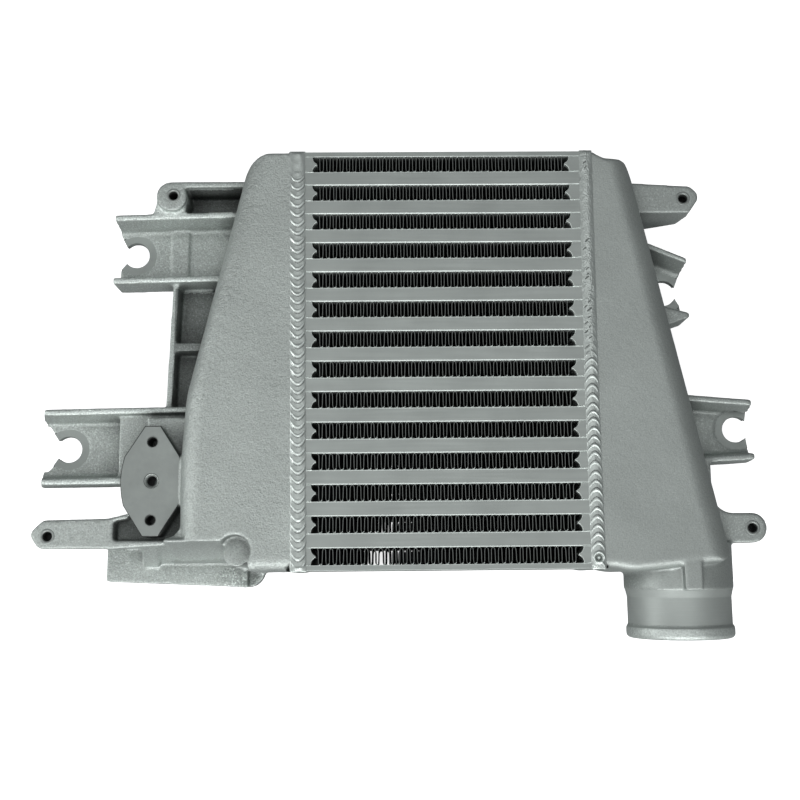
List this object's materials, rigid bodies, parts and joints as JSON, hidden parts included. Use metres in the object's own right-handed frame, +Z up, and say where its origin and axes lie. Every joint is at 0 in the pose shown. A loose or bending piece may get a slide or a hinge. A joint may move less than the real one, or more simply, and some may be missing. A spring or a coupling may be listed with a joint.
{
  "type": "intercooler",
  "caption": "Charge air cooler: a brazed bar-and-plate fin core between two tapered cast end tanks with mounting arms, a manifold flange and a hose spigot.",
  "frame": {"origin": "centre of the manifold port on the face of its flange", "axes": "+X runs along the charge air path from the manifold side tank to the hose side tank, +Y across the core away from the spigot, +Z up through the core's thickness, away from the flange face"},
  "size_m": [0.4005, 0.2671, 0.0688],
  "materials": {
    "cast": "cast",
    "bar_and_plate": "satin",
    "fin_strip": "dull",
    "weld": "satin"
  },
  "bodies": {
    "root": {"charge_tube_01": "bar_and_plate", "turbulator_01": "fin_strip", "charge_tube_02": "bar_and_plate", "turbulator_02": "fin_strip", "charge_tube_03": "bar_and_plate", "turbulator_03": "fin_strip", "charge_tube_04": "bar_and_plate", "turbulator_04": "fin_strip", "charge_tube_05": "bar_and_plate", "turbulator_05": "fin_strip", "charge_tube_06": "bar_and_plate", "turbulator_06": "fin_strip", "charge_tube_07": "bar_and_plate", "turbulator_07": "fin_strip", "charge_tube_08": "bar_and_plate", "turbulator_08": "fin_strip", "charge_tube_09": "bar_and_plate", "turbulator_09": "fin_strip", "charge_tube_10": "bar_and_plate", "turbulator_10": "fin_strip", "charge_tube_11": "bar_and_plate", "turbulator_11": "fin_strip", "charge_tube_12": "bar_and_plate", "turbulator_12": "fin_strip", "charge_tube_13": "bar_and_plate", "turbulator_13": "fin_strip", "air_fin_01": "fin_strip", "air_end_bars_01": "bar_and_plate", "air_fin_02": "fin_strip", "air_end_bars_02": "bar_and_plate", "air_fin_03": "fin_strip", "air_end_bars_03": "bar_and_plate", "air_fin_04": "fin_strip", "air_end_bars_04": "bar_and_plate", "air_fin_05": "fin_strip", "air_end_bars_05": "bar_and_plate", "air_fin_06": "fin_strip", "air_end_bars_06": "bar_and_plate", "air_fin_07": "fin_strip", "air_end_bars_07": "bar_and_plate", "air_fin_08": "fin_strip", "air_end_bars_08": "bar_and_plate", "air_fin_09": "fin_strip", "air_end_bars_09": "bar_and_plate", "air_fin_10": "fin_strip", "air_end_bars_10": "bar_and_plate", "air_fin_11": "fin_strip", "air_end_bars_11": "bar_and_plate", "air_fin_12": "fin_strip", "air_end_bars_12": "bar_and_plate", "air_fin_13": "fin_strip", "air_end_bars_13": "bar_and_plate", "air_fin_14": "fin_strip", "air_end_bars_14": "bar_and_plate", "side_plate_upper": "bar_and_plate", "side_plate_lower": "bar_and_plate", "weld_bead_left": "weld", "weld_bead_right": "weld", "tank_manifold_side": "cast", "tank_hose_side": "cast"}
  },
  "joints": []
}
